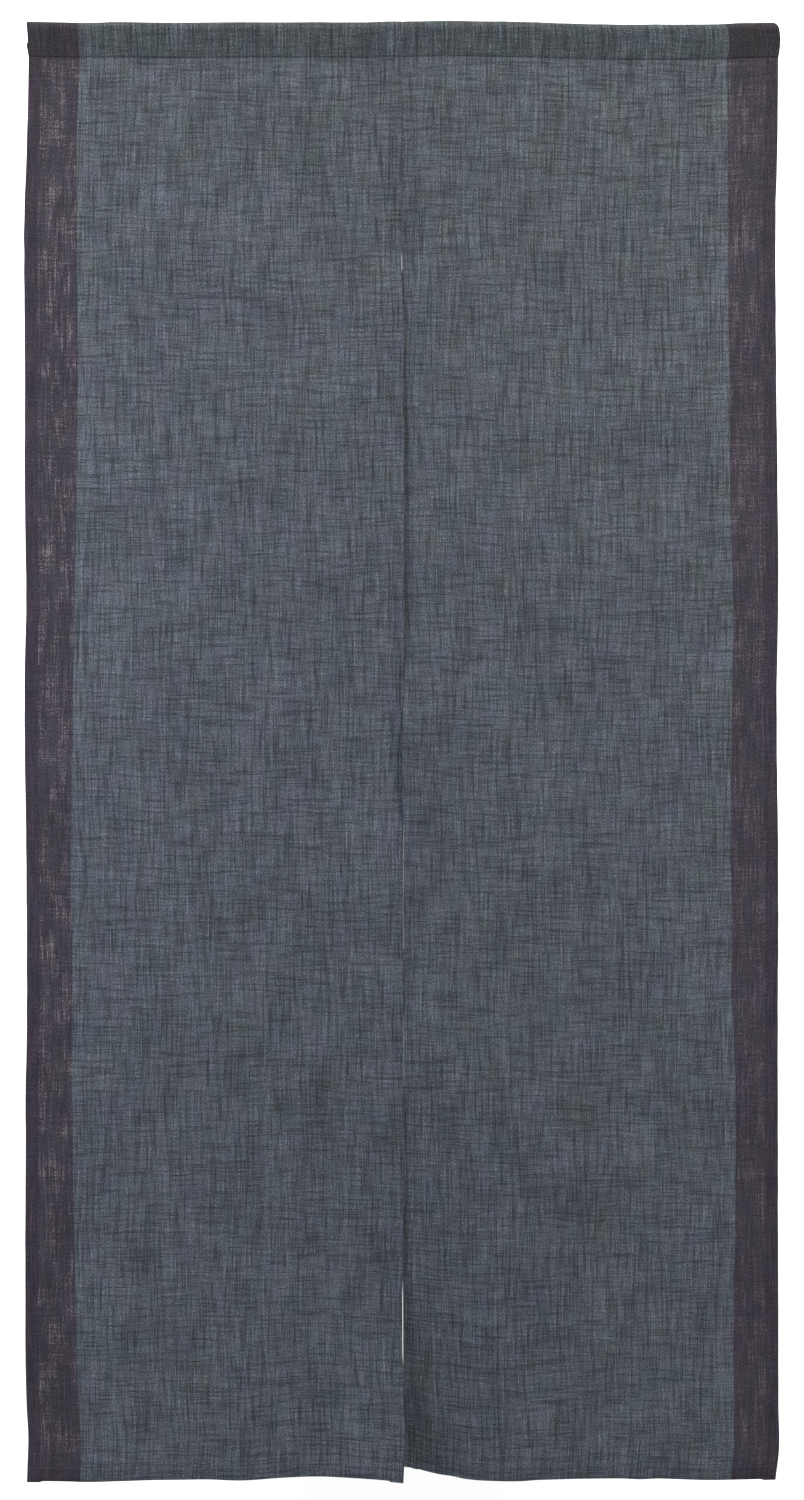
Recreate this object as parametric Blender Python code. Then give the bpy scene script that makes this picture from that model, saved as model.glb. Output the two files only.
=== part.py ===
"""A two-panel doorway curtain with a rod pocket, hanging from its top edge.

Run it with: blender --background --python part.py
Metres, +Z up. X runs across the curtain and Y from its front to its back. The origin is the middle
of the top edge, where a rod carries the curtain. A drop is a distance down from that edge.
"""

import math
from collections import namedtuple

import bmesh
import bpy
import numpy as np

# The whole curtain
WIDTH = 0.880
DROP = 1.708
HALF = WIDTH / 2
PIECE_GAP = 0.0003

# The cloth. A hem is three layers of it, turned to the back. A dark band runs down each outer side
CLOTH = 0.0012
HEM = 0.0026
SIDE_HEM = 0.014
BOTTOM_HEM = 0.016
HEM_STEP = 0.0010
BAND = 0.056

# The rod pocket, from the top edge down to the stitching that closes it
POCKET_DROP = 0.0416
ROD_ROOM = 0.0146
POCKET_FOOT = 0.0026
FOOT_INSIDE = 0.0012
POCKET_SECTIONS = 26
ARC_STEPS = 10
WALL_STEPS = 3

# The grid of a panel
COLUMNS = 13
ROWS = 38

# How far from the slit the sway of its edges still moves the cloth
SLIT_REACH = 0.045

# The hem line is drawn up near the bottom only: a higher power keeps it lower down
LIFT_POWER = 6

# Outer edges: how far each stands out from half the width, in millimetres
Side = namedtuple("Side", "drop left_out right_out")
SIDES = [
    Side(POCKET_DROP, -3.3, 1.2),
    Side(0.110, -2.6, 0.2),
    Side(0.255, 2.4, -2.3),
    Side(0.440, 0.2, -1.1),
    Side(0.540, 1.2, 0.1),
    Side(0.675, -1.1, 1.2),
    Side(0.790, 1.1, -1.1),
    Side(1.030, -1.1, 1.2),
    Side(1.150, -1.4, 0.9),
    Side(1.280, 0.0, 0.2),
    Side(1.520, -0.2, 0.4),
    Side(1.620, -1.2, 0.6),
    Side(1.660, -2.4, 1.8),
    Side(DROP, -1.6, -2.2),
]

# The two edges along the middle, in millimetres: across, and back from the plane of the curtain.
# They are sewn together down to SEAM_END, then hang free and pass in front of each other
SEAM_END = 0.262
Slit = namedtuple("Slit", "drop left right left_back right_back")
SLITS = [
    Slit(0.000, 1.75, 2.05, 0.0, 0.0),
    Slit(0.194, -0.75, -0.45, 0.0, 0.0),
    Slit(SEAM_END, -0.65, -0.35, 0.0, 0.0),
    Slit(0.300, 0.20, 1.00, -1.0, 1.5),
    Slit(0.400, 2.20, 1.20, -2.2, 4.2),
    Slit(0.677, 3.00, 1.60, -2.2, 4.2),
    Slit(0.775, 1.50, 2.60, 0.0, 0.6),
    Slit(0.870, 1.00, -0.10, 4.0, -2.0),
    Slit(0.955, 1.40, 2.40, 0.8, 0.0),
    Slit(1.040, 1.50, 2.50, 0.0, 0.0),
    Slit(1.245, 1.70, 2.80, 0.0, 0.5),
    Slit(1.339, 4.60, 3.20, -2.4, 4.4),
    Slit(1.430, 2.20, 3.40, -1.0, 2.0),
    Slit(1.518, 0.80, 2.80, -1.0, 1.5),
    Slit(1.600, 2.20, 2.60, -2.5, 5.0),
    Slit(1.661, 3.80, 2.80, -4.5, 5.5),
    Slit(DROP, 1.80, 3.40, -6.0, 6.0),
]

# Soft folds: each grows from one drop to another and then runs on to the hem. Metres, but for
# depth, which is back from the plane in millimetres
Fold = namedtuple("Fold", "panel across width starts full depth")
FOLDS = [
    Fold("left", -0.335, 0.070, 0.25, 1.20, -4.0),
    Fold("left", -0.215, 0.050, 0.10, 0.90, 3.0),
    Fold("left", -0.105, 0.085, 0.70, 1.70, 12.0),
    Fold("left", -0.400, 0.035, 0.60, 1.60, 4.0),
    Fold("right", 0.010, 0.120, 0.85, 1.70, 14.0),
    Fold("right", 0.000, 0.052, 1.32, 1.72, 27.0),
    Fold("right", 0.155, 0.055, 0.30, 1.40, -4.0),
    Fold("right", 0.268, 0.065, 0.80, 1.70, 9.0),
    Fold("right", 0.390, 0.040, 0.40, 1.50, -3.0),
]

# The top edge dips a little along the rod, in millimetres
Top = namedtuple("Top", "across dip")
TOPS = [
    Top(-HALF, 0.4),
    Top(-0.300, 0.8),
    Top(-0.060, 0.6),
    Top(0.060, 0.0),
    Top(0.140, 0.2),
    Top(0.240, 2.6),
    Top(0.350, 2.8),
    Top(HALF, 1.0),
]

# The open ends of the rod pocket: how far each stands out from half the width, in millimetres
End = namedtuple("End", "drop left_out right_out")
ENDS = [
    End(0.000, -1.0, -0.4),
    End(0.010, -2.0, 2.0),
    End(0.022, -1.4, 3.4),
    End(0.034, -2.4, 2.6),
    End(POCKET_DROP, -3.2, 1.4),
]

# The hem line: how far it is drawn up, in millimetres
Lift = namedtuple("Lift", "across lift")
LIFTS = {
    "left": [
        Lift(-HALF, -1.8),
        Lift(-0.350, -1.2),
        Lift(-0.200, 0.4),
        Lift(-0.105, 1.5),
        Lift(-0.050, 1.3),
        Lift(0.003, -3.2),
    ],
    "right": [
        Lift(0.000, 8.0),
        Lift(0.026, 5.8),
        Lift(0.045, 3.6),
        Lift(0.075, 0.2),
        Lift(0.120, -1.6),
        Lift(0.250, 0.6),
        Lift(0.350, -0.2),
        Lift(HALF, 0.2),
    ],
}

# Colours: the ground and the band of the single cloth, and of the doubled and darker heading
PANEL_SLATE = (0.098, 0.112, 0.135)
PANEL_PLUM = (0.068, 0.060, 0.075)
HEADING_SLATE = (0.082, 0.094, 0.112)
HEADING_PLUM = (0.048, 0.046, 0.056)
CLOTH_ROUGHNESS = 0.92

MM = 0.001


def clear_scene():
    for thing in list(bpy.data.objects):
        bpy.data.objects.remove(thing)


def make_cloth(name, colour):
    material = bpy.data.materials.new(name)
    material.use_nodes = True
    shader = material.node_tree.nodes["Principled BSDF"]
    shader.inputs["Base Color"].default_value = (*colour, 1.0)
    shader.inputs["Roughness"].default_value = CLOTH_ROUGHNESS
    shader.inputs["Metallic"].default_value = 0.0
    return material


def make_object(name, shape, ground, band):
    """An object from a bmesh, with its own cloth for its ground and for the bands at its sides."""
    mesh = bpy.data.meshes.new(name)
    for face in shape.faces:
        from_middle = abs(face.calc_center_median().x)
        face.material_index = 1 if from_middle > HALF - BAND else 0
        face.smooth = True
    shape.to_mesh(mesh)
    shape.free()
    mesh.materials.append(make_cloth(name + "_slate", ground))
    mesh.materials.append(make_cloth(name + "_plum", band))
    thing = bpy.data.objects.new(name, mesh)
    bpy.context.scene.collection.objects.link(thing)
    return thing


def through(rows, column, at):
    """A soft curve through one column of a table, read where its first column is `at`."""
    places = np.array([row[0] for row in rows])
    values = np.array([getattr(row, column) for row in rows])
    slopes = np.gradient(values, places)
    after = int(np.clip(np.searchsorted(places, at), 1, len(rows) - 1))
    before = after - 1
    span = places[after] - places[before]
    t = float(np.clip((at - places[before]) / span, 0.0, 1.0))
    return (
        values[before] * (1 + 2 * t) * (1 - t) ** 2
        + values[after] * t * t * (3 - 2 * t)
        + slopes[before] * span * t * (1 - t) ** 2
        - slopes[after] * span * t * t * (1 - t)
    )


def grown(value, start, full):
    """0 at start, 1 at full, with a soft rise between them."""
    t = float(np.clip((value - start) / (full - start), 0.0, 1.0))
    return t * t * (3 - 2 * t)


def edges_of(side, drop):
    """Where a panel's outer and inner edges lie across the curtain at a drop."""
    if side == "left":
        outer = -HALF - through(SIDES, "left_out", drop) * MM
    else:
        outer = HALF + through(SIDES, "right_out", drop) * MM
    return outer, through(SLITS, side, drop) * MM


def depth_of(side, across, drop):
    """How far back a panel's front face lies from the plane of the curtain."""
    depth = sum(
        fold.depth
        * grown(drop, fold.starts, fold.full)
        * math.exp(-(((across - fold.across) / fold.width) ** 2))
        for fold in FOLDS
        if fold.panel == side
    )
    inner = edges_of(side, drop)[1]
    near = math.exp(-(((across - inner) / SLIT_REACH) ** 2))
    return (depth + through(SLITS, side + "_back", drop) * near) * MM


def panel_columns():
    """Distances from a panel's outer edge, with a pair of lines at each hem and one at the band."""
    inner_hem = HALF - SIDE_HEM
    ground = np.linspace(BAND, inner_hem - HEM_STEP, COLUMNS)
    return [0.0, SIDE_HEM, SIDE_HEM + HEM_STEP, *ground, inner_hem, HALF]


def panel_rows(length):
    """Distances down from a panel's top, with a pair of lines at the bottom hem."""
    hem = length - BOTTOM_HEM
    return [*np.linspace(0.0, hem - HEM_STEP, ROWS), hem, length]


def panel_grid(side):
    """A panel's front face as rows of (point, share of the hem's thickness)."""
    top = POCKET_DROP + PIECE_GAP
    length = DROP - top
    grid = []
    for down in panel_rows(length):
        share = down / length
        outer, inner = edges_of(side, top + down)
        line = []
        for from_outer in panel_columns():
            across = outer + (inner - outer) * from_outer / HALF
            dip = through(TOPS, "dip", across) * (1 - share)
            lift = through(LIFTS[side], "lift", across) * share**LIFT_POWER
            front = depth_of(side, across, top + down) - POCKET_FOOT / 2
            in_hem = (
                min(from_outer, HALF - from_outer) <= SIDE_HEM or down >= length - BOTTOM_HEM
            )
            point = (across, front, -(top + down) - (dip - lift) * MM)
            line.append((point, 1.0 if in_hem else CLOTH / HEM))
        grid.append(line)
    return grid


def make_panel(side):
    """One hanging panel: a hemmed sheet whose front is a grid, thickened towards the back."""
    grid = panel_grid(side)
    shape = bmesh.new()
    corners = [[shape.verts.new(point) for point, _ in line] for line in grid]
    for upper, lower in zip(corners, corners[1:]):
        for i in range(len(upper) - 1):
            loop = [upper[i], lower[i], lower[i + 1], upper[i + 1]]
            shape.faces.new(loop if side == "left" else loop[::-1])
    panel = make_object("panel_" + side, shape, PANEL_SLATE, PANEL_PLUM)

    layers = panel.vertex_groups.new(name="layers")
    for index, (_, share) in enumerate(corner for line in grid for corner in line):
        layers.add([index], share, "REPLACE")
    thick = panel.modifiers.new("Cloth", "SOLIDIFY")
    thick.thickness = HEM
    thick.offset = -1.0
    thick.vertex_group = layers.name


def pocket_profile(wall):
    """The rod pocket in section, as (back, down): round over the rod, then straight to its foot.

    A wall of 0 gives the outside. Otherwise the profile lies that far inside it.
    """
    outside = ROD_ROOM / 2 + CLOTH
    foot = POCKET_FOOT / 2
    below = POCKET_DROP - outside
    lean = math.asin(outside / math.hypot(below, foot)) - math.atan2(foot, below)
    radius = outside - wall
    if wall:
        foot = FOOT_INSIDE / 2
        below = (radius - foot * math.cos(lean)) / math.sin(lean)
    arc = [
        (radius * math.cos(angle), outside - radius * math.sin(angle))
        for angle in np.linspace(math.pi + lean, -lean, ARC_STEPS + 1)
    ]
    shares = np.linspace(0.0, 1.0, WALL_STEPS, endpoint=False)
    front = [
        (-foot + (arc[0][0] + foot) * s, outside + below + (arc[0][1] - outside - below) * s)
        for s in shares
    ]
    back = [(-y, down) for y, down in reversed(front)]
    return front + arc + back


def pocket_ring(profile, share):
    """The profile at one place along the pocket: share 0 is its left end and share 1 its right."""
    ring = []
    for back, down in profile:
        left = -HALF - through(ENDS, "left_out", down) * MM
        right = HALF + through(ENDS, "right_out", down) * MM
        across = left + (right - left) * share
        dip = through(TOPS, "dip", across) * MM
        ring.append((across, back, -down - dip))
    return ring


def make_heading():
    """The rod pocket: a sleeve open at both ends, where its outside and inside are joined."""
    ground = np.linspace(BAND, WIDTH - BAND, POCKET_SECTIONS)
    shares = [place / WIDTH for place in (0.0, BAND / 2, *ground, WIDTH - BAND / 2, WIDTH)]
    outside = [pocket_ring(pocket_profile(0.0), share) for share in shares]
    inside = [pocket_ring(pocket_profile(CLOTH), share) for share in reversed(shares)]
    shape = bmesh.new()
    rings = [[shape.verts.new(point) for point in ring] for ring in outside + inside]
    for ring, following in zip(rings, rings[1:] + rings[:1]):
        for i in range(len(ring)):
            j = (i + 1) % len(ring)
            shape.faces.new([ring[i], ring[j], following[j], following[i]])
    bmesh.ops.recalc_face_normals(shape, faces=shape.faces)
    heading = make_object("heading", shape, HEADING_SLATE, HEADING_PLUM)
    heading.data.set_sharp_from_angle(angle=math.radians(40))


def main():
    clear_scene()
    make_heading()
    make_panel("left")
    make_panel("right")


main()
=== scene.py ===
"""The looks of a split doorway curtain: two hemmed panels of slub cloth hung from a rod pocket.

Metres, +Z up. X runs across the curtain and Y from its front to its back, and the origin is the
middle of the top edge. A drop is a distance down from that edge, and an inward place is a distance
from a panel's outer edge towards the slit in the middle.
"""

import math
from collections import namedtuple

import bpy
import numpy as np
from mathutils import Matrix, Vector


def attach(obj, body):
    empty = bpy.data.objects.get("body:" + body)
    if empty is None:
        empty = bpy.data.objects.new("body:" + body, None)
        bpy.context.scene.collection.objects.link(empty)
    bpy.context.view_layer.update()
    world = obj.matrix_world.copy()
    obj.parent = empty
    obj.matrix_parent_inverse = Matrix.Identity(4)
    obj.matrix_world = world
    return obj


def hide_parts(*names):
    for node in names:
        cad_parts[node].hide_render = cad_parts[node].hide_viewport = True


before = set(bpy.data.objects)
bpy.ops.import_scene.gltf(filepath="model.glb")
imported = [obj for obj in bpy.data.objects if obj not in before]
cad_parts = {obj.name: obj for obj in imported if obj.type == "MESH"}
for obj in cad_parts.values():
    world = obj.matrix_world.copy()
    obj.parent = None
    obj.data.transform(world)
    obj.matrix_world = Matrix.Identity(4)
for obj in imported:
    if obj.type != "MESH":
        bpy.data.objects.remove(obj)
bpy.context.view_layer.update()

bl_info = {
    "name": "Split doorway curtain",
    "version": (1, 0, 0),
    "blender": (4, 5, 0),
    "location": "View3D > Sidebar > Curtain",
    "description": "Hangs a split doorway curtain of slub cloth, sews it and lights it",
    "category": "Add Mesh",
}

MM = 0.001

# Which way across the curtain each panel's outer edge lies
OUTWARD = {"left": -1.0, "right": 1.0}

# Where the random draws of each side start
Seeds = namedtuple("Seeds", "edge panel heading")
SEEDS = {"left": Seeds(11, 20, 40), "right": Seeds(12, 30, 41)}

# How far a hem's raw edge stays clear of its outer fold
RAW_EDGE = 0.0015

# How far from the middle each panel lies on the map of the flat cloth, so that their yarns differ
MAP_SHIFT = 0.05

# The camera's sensor, in millimetres
SENSOR = 36.0

# Grid steps across a panel and down it, and across half the heading
PANEL_ACROSS, PANEL_DOWN, HEADING_ACROSS = 78, 270, 40


def table(columns, *rows):
    """Rows of values whose columns have names."""
    row_of = namedtuple("Row", columns)
    return [row_of(*row) for row in rows]


# Outer edges: how far each stands out from half the width, in millimetres
SIDES = table(
    "drop left_out right_out",
    (0.0416, -2.0, 1.2),
    (0.110, -0.9, 0.9),
    (0.255, 3.2, -2.0),
    (0.440, 2.3, -1.0),
    (0.540, 2.5, 0.6),
    (0.675, 0.8, 1.3),
    (0.790, 2.5, -0.6),
    (1.030, 0.2, 1.2),
    (1.150, -0.1, 0.9),
    (1.280, 1.5, 0.8),
    (1.520, 1.8, 1.4),
    (1.620, 0.2, 1.4),
    (1.660, -1.8, 2.4),
    (1.708, -0.3, -1.5),
)

# The edges along the middle, in millimetres: across, and back from the plane of the curtain. They
# are sewn together at first, then hang free and pass in front of each other
SLITS = table(
    "drop left right left_back right_back",
    (0.000, 1.95, 1.85, 0.0, 0.0),
    (0.194, -0.55, -0.65, 0.0, 0.0),
    (0.262, -0.45, -0.55, 0.0, 0.0),
    (0.270, -0.40, -0.45, 0.0, 0.0),
    (0.277, -0.35, -0.22, 0.0, 0.0),
    (0.290, -0.20, -0.08, 0.0, 0.3),
    (0.302, 0.60, -0.10, -0.8, 1.0),
    (0.400, 2.40, -0.60, -0.9, 1.4),
    (0.600, 2.80, -0.40, -1.6, 2.6),
    (0.677, 3.00, 1.00, -1.6, 2.6),
    (0.740, 2.40, 1.40, -1.0, 1.6),
    (0.790, 2.00, 1.90, 0.8, 0.8),
    (0.830, 1.90, 0.70, 2.4, -1.2),
    (0.870, 1.60, -0.10, 3.2, -2.0),
    (0.925, 1.40, 0.90, 2.2, -0.6),
    (0.955, 1.40, 1.44, 0.8, 0.0),
    (1.040, 1.50, 1.51, 0.0, 0.0),
    (1.085, 1.60, 1.59, 0.0, 0.0),
    (1.110, 1.90, 1.50, -0.6, 1.0),
    (1.150, 1.90, 1.50, -0.6, 1.0),
    (1.170, 1.80, 1.79, 0.0, 0.2),
    (1.215, 1.90, 1.89, 0.0, 0.2),
    (1.245, 2.00, 1.98, -0.3, 0.8),
    (1.265, 2.40, 1.90, -0.7, 1.3),
    (1.339, 4.20, 2.80, -0.9, 1.5),
    (1.430, 2.20, 1.60, -0.4, 0.2),
    (1.470, 1.20, 1.00, -0.5, 0.0),
    (1.500, 0.55, 1.20, -0.7, 0.2),
    (1.555, 0.60, 1.30, -1.0, 1.0),
    (1.575, 1.60, 1.40, -1.8, 2.6),
    (1.600, 2.40, 1.60, -2.5, 3.6),
    (1.661, 3.60, 2.40, -4.5, 4.5),
    (1.708, 1.80, 2.60, -6.0, 5.0),
)

# Soft folds: each grows from one drop to another and then runs on to the hem. Metres, but for
# depth, which is back from the plane in millimetres
FOLDS = table(
    "panel across width starts full depth",
    ("left", -0.335, 0.070, 0.25, 1.20, -4.0),
    ("left", -0.215, 0.050, 0.10, 0.90, 3.0),
    ("left", -0.105, 0.085, 0.70, 1.70, 12.0),
    ("left", -0.400, 0.035, 0.60, 1.60, 4.0),
    ("right", 0.060, 0.120, 1.25, 1.80, 16.5),
    ("right", 0.010, 0.110, 1.40, 1.78, 16.0),
    ("right", 0.155, 0.055, 0.30, 1.40, -4.0),
    ("right", 0.268, 0.065, 0.80, 1.70, 9.0),
    ("right", 0.390, 0.040, 0.40, 1.50, -3.0),
)

# How far back the foot of each bottom hem curls, in millimetres, one hem below where it starts
CURLS = {"left": 0.8, "right": 1.6}

# The top edge dips a little along the rod, in millimetres
TOPS = table(
    "across dip",
    (-0.440, -1.2),
    (-0.400, -0.3),
    (-0.370, 0.1),
    (-0.330, -0.7),
    (-0.270, 0.2),
    (-0.140, -0.5),
    (-0.060, -0.2),
    (-0.006, -1.3),
    (0.056, -1.9),
    (0.115, -1.3),
    (0.162, -0.2),
    (0.209, 1.5),
    (0.256, 2.4),
    (0.350, 2.2),
    (0.396, 0.7),
    (0.440, -0.3),
)

# The open ends of the rod pocket, in millimetres: how far each stands out from half the width, and
# how much further the back wall shows past the front one
ENDS = table(
    "drop left_out right_out left_behind right_behind",
    (0.000, 0.0, -5.2, 0.0, 0.0),
    (0.0015, -0.1, -2.6, 0.0, 0.0),
    (0.005, -0.4, 0.4, 0.0, -0.2),
    (0.010, -0.8, 2.0, 0.0, -0.4),
    (0.022, -1.4, 3.4, 0.4, -0.8),
    (0.027, -1.4, 3.2, 2.2, -0.8),
    (0.034, -1.6, 2.6, 1.0, -0.6),
    (0.0416, -2.0, 1.4, 0.0, 0.0),
)

# The hem line: how far it is drawn up, in millimetres
LIFTS = {
    "left": table(
        "across lift",
        (-0.440, -2.6),
        (-0.377, -3.4),
        (-0.331, -2.0),
        (-0.284, -0.8),
        (-0.237, -1.0),
        (-0.190, -3.2),
        (-0.143, -0.5),
        (-0.096, 0.9),
        (-0.061, -0.2),
        (-0.026, -1.4),
        (0.003, -3.2),
    ),
    "right": table(
        "across lift",
        (0.000, 9.5),
        (0.007, 8.9),
        (0.016, 6.5),
        (0.026, 3.7),
        (0.045, -0.5),
        (0.060, -2.2),
        (0.075, -5.0),
        (0.095, -6.1),
        (0.115, -5.8),
        (0.140, -4.5),
        (0.162, -2.4),
        (0.209, -1.3),
        (0.256, -1.5),
        (0.280, -2.3),
        (0.303, -1.0),
        (0.350, -1.5),
        (0.400, -0.3),
        (0.440, 0.2),
    ),
}

# The width of each dark band, in millimetres from the outer edge
BANDS = table(
    "drop left right",
    (0.040, 60.0, 59.6),
    (0.120, 58.0, 58.5),
    (0.255, 61.5, 55.5),
    (0.440, 61.0, 55.0),
    (0.560, 59.5, 55.0),
    (0.680, 56.0, 52.5),
    (0.830, 55.5, 52.0),
    (0.955, 51.5, 55.0),
    (1.100, 53.0, 54.5),
    (1.270, 53.5, 49.5),
    (1.400, 56.0, 50.0),
    (1.520, 59.0, 52.5),
    (1.708, 62.0, 53.0),
)

# Soft lamps, in metres and watts: warm ones high up, cooler ones low down at the sides
LAMP_SIZE, LAMP_AIM = 0.9, (0.0, 0.0, -0.7)
LAMPS = table(
    "name place power colour",
    ("High left lamp", (-1.5, -1.2, 1.3), 31.5, (1.0, 0.94, 0.80)),
    ("High right lamp", (1.9, -1.5, 1.3), 53.0, (1.0, 0.98, 0.81)),
    ("Low left lamp", (-1.3, -0.8, -0.7), 11.0, (0.78, 0.87, 1.0)),
    ("Low right lamp", (1.4, -0.9, -0.7), 6.5, (0.92, 0.95, 1.0)),
)


def number(name, description, default, **limits):
    """A value that a user can change."""
    return bpy.props.FloatProperty(name=name, description=description, default=default, **limits)


def metres(name, description, default):
    """A size in metres."""
    return number(name, description, default, unit="LENGTH")


def fraction(name, description, default):
    """A part of the whole, from 0 to 1."""
    return number(name, description, default, min=0.0, max=1.0)


def pixels(name, description, default):
    """A size of the photograph."""
    return bpy.props.IntProperty(name=name, description=description, default=default)


def linear_colour(name, description, default):
    """A colour, in linear light."""
    limits = {"subtype": "COLOR", "size": 3, "min": 0.0, "max": 1.0}
    return bpy.props.FloatVectorProperty(
        name=name, description=description, default=default, **limits
    )


class CurtainSizes(bpy.types.PropertyGroup):
    """The curtain's cut and sewing."""

    width: metres("Width", "Both panels together, side by side", 0.880)
    drop: metres("Drop", "From the top edge to the hem line", 1.708)
    thickness: metres("Cloth Thickness", "One layer of the cloth", 0.00042)
    layer: metres("Layer Spacing", "From one folded layer of a hem to the next", 0.0005)
    side_hem: metres("Side Hem", "The double hem down each side of a panel", 0.014)
    bottom_hem: metres("Bottom Hem", "The double hem along the bottom of a panel", 0.016)
    pocket_drop: metres(
        "Pocket Drop", "From the top edge to the stitching that closes the rod pocket", 0.0417
    )
    rod_room: metres("Rod Room", "The round room inside the top of the pocket", 0.0146)
    pocket_wall: metres("Pocket Wall", "The wall that the plain solid of the pocket has", 0.0012)
    foot: metres("Pocket Foot", "How thick the heading is where it is stitched down", 0.0026)
    turn_under: metres("Turn Under", "The raw edge folded inside the back wall of the pocket", 0.010)
    seam: metres("Sewn Seam", "How far down from the top the panels are sewn together", 0.262)
    stitch: metres("Stitch Length", "One visible stitch of a seam or hem", 0.0026)
    stitch_pitch: metres("Stitch Pitch", "From one stitch to the next", 0.0036)
    thread: metres("Thread", "The thread's diameter", 0.00045)


class CurtainColours(bpy.types.PropertyGroup):
    """The dyes of the cloth and the threads."""

    # The panels' slate and plum are the cloth's dyes lifted a little: painted light for the daylight
    # that comes through one layer of cloth
    slate: linear_colour("Slate", "The ground of the cloth", (0.0895, 0.102, 0.1295))
    plum: linear_colour("Plum", "The band down each outer side", (0.0425, 0.039, 0.0565))
    rose: linear_colour("Rose", "The redder patches of the band", (0.051, 0.039, 0.0565))
    # The heading's dyes are a darker copy of the panels' dyes: painted shade for its doubled layers,
    # which let no light through
    shaded_heading_slate: linear_colour(
        "Heading Slate",
        "The ground of the heading, where two layers lie on each other",
        (0.075, 0.087, 0.103),
    )
    shaded_heading_plum: linear_colour("Heading Plum", "The dark ends of the heading", (0.041, 0.037, 0.047))
    slate_thread: linear_colour(
        "Slate Thread", "The thread of the heading and the slate hems", (0.072, 0.083, 0.100)
    )
    plum_thread: linear_colour("Plum Thread", "The thread of the outer side hems", (0.038, 0.034, 0.044))


class WeaveSettings(bpy.types.PropertyGroup):
    """The slub yarns, in millimetres, and how much they show."""

    yarn_pitch: number("Yarn Pitch", "From one plain yarn to the next, in millimetres", 0.62)
    slub_pitch: number("Slub Pitch", "The width of a thick or thin streak, in millimetres", 1.45)
    warp_slub: number("Warp Slub", "The length of a streak down the cloth, in millimetres", 46.0)
    weft_slub: number("Weft Slub", "The length of a streak across the cloth, in millimetres", 42.0)
    warp_contrast: number(
        "Warp Contrast", "How much the upright streaks darken and lighten the cloth", 1.5
    )
    weft_contrast: number(
        "Weft Contrast", "How much the level streaks darken and lighten the cloth", 0.9
    )
    slub_contrast: number("Slub Contrast", "How much darker the thickest slubs are", 0.27)
    edge_contrast: number("Edge Contrast", "How much paler the slate is beside the dark band", 0.08)
    nep_contrast: number(
        "Nep Contrast", "How much small knots of fibre darken and lighten the cloth", 2.25
    )
    band_contrast: number(
        "Band Contrast", "How much the upright streaks darken and lighten the dark band", 1.1
    )
    fleck: number("Fleck", "How pale the thin warp of the dark band is", 0.18)
    openness: fraction("Openness", "How clear one face of the cloth is between its yarns", 0.062)
    left_band_openness: fraction(
        "Left Band Openness", "How clear one face of the left dark band is in its flecks", 0.20
    )
    right_band_openness: fraction(
        "Right Band Openness", "How clear one face of the right dark band is in its flecks", 0.12
    )


class StageSettings(bpy.types.PropertyGroup):
    """The camera, the light and the floor."""

    photo_width: pixels("Photo Width", "The width of the photograph in pixels", 804)
    photo_height: pixels("Photo Height", "The height of the photograph in pixels", 1500)
    middle_pixel: number(
        "Middle Pixel", "The column of the photograph where the middle of the curtain lies", 402.0
    )
    top_pixel: number("Top Pixel", "The row of the photograph where the top edge lies", 22.5)
    pixel_size: metres(
        "Pixel Size", "The width of one pixel of the photograph at the curtain", 0.0011725
    )
    camera_distance: metres("Camera Distance", "From the camera to the plane of the curtain", 4.5)
    floor_drop: metres("Floor Drop", "From the top edge of the curtain down to the floor", 2.0)
    floor_radius: metres("Floor Radius", "The radius of the pale floor", 0.9)
    lamp_power: number("Lamp Power", "A factor on the power of every lamp", 1.0)
    front_light: number("Front Light", "The brightness of the white room in front of the curtain", 0.15)
    back_light: number("Back Light", "The brightness of the white room behind the curtain", 0.92)
    high_light: number("High Light", "What the room gains behind the top of the curtain", 1.0)
    sky_light: number("Sky Light", "What the room gains straight above the curtain", 3.2)
    side_light: number("Side Light", "What the room gains behind the sides of the curtain", 0.45)


def curve_through(rows, column, at):
    """A soft curve through one column of a table, read where its first column is `at`.

    Between two rows it is the cubic that has their values and the table's slopes there. A slope is
    the harmonic mean of those on both sides, or level where the table turns, so no curve overshoots.
    """
    places = np.array([row[0] for row in rows])
    values = np.array([getattr(row, column) for row in rows])
    rises = np.diff(values) / np.diff(places)
    product, total = rises[:-1] * rises[1:], rises[:-1] + rises[1:]
    inner = np.where(product > 0, 2 * product / np.where(total == 0, 1.0, total), 0.0)
    slopes = np.concatenate([rises[:1], inner, rises[-1:]])
    after = np.clip(np.searchsorted(places, at), 1, len(rows) - 1)
    before = after - 1
    span = places[after] - places[before]
    t = np.clip((at - places[before]) / span, 0.0, 1.0)
    return (
        values[before] * (1 + 2 * t) * (1 - t) ** 2
        + values[after] * t * t * (3 - 2 * t)
        + slopes[before] * span * t * (1 - t) ** 2
        - slopes[after] * span * t * t * (1 - t)
    )


def grown(value, start, full):
    """0 at start, 1 at full, with a soft rise between them."""
    t = np.clip((value - start) / (full - start), 0.0, 1.0)
    return t * t * (3 - 2 * t)


def bell(distance, width):
    """1 at no distance, falling to nothing at about twice the width, as a normal curve does."""
    return np.exp(-((distance / width) ** 2))


def unevenness(seed, first, second):
    """Smooth random values from -1 to 1 over two coordinates, in steps of 1.

    Each whole step has a random value, and a place between steps blends its four neighbours.
    """
    size = 97
    values = np.random.default_rng(seed).uniform(-1.0, 1.0, (size, size))
    first, second = np.broadcast_arrays(first, second)
    i, j = np.floor(first).astype(int), np.floor(second).astype(int)
    s, t = first - i, second - j
    s, t = s * s * (3 - 2 * s), t * t * (3 - 2 * t)
    near, far = i % size, (i + 1) % size
    low, high = j % size, (j + 1) % size
    return (
        values[near, low] * (1 - s) * (1 - t)
        + values[far, low] * s * (1 - t)
        + values[near, high] * (1 - s) * t
        + values[far, high] * s * t
    )


def edge_inset(sizes):
    """How far the middle of a folded edge lies inside the edge that shows."""
    return sizes.layer + sizes.thickness / 2


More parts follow.
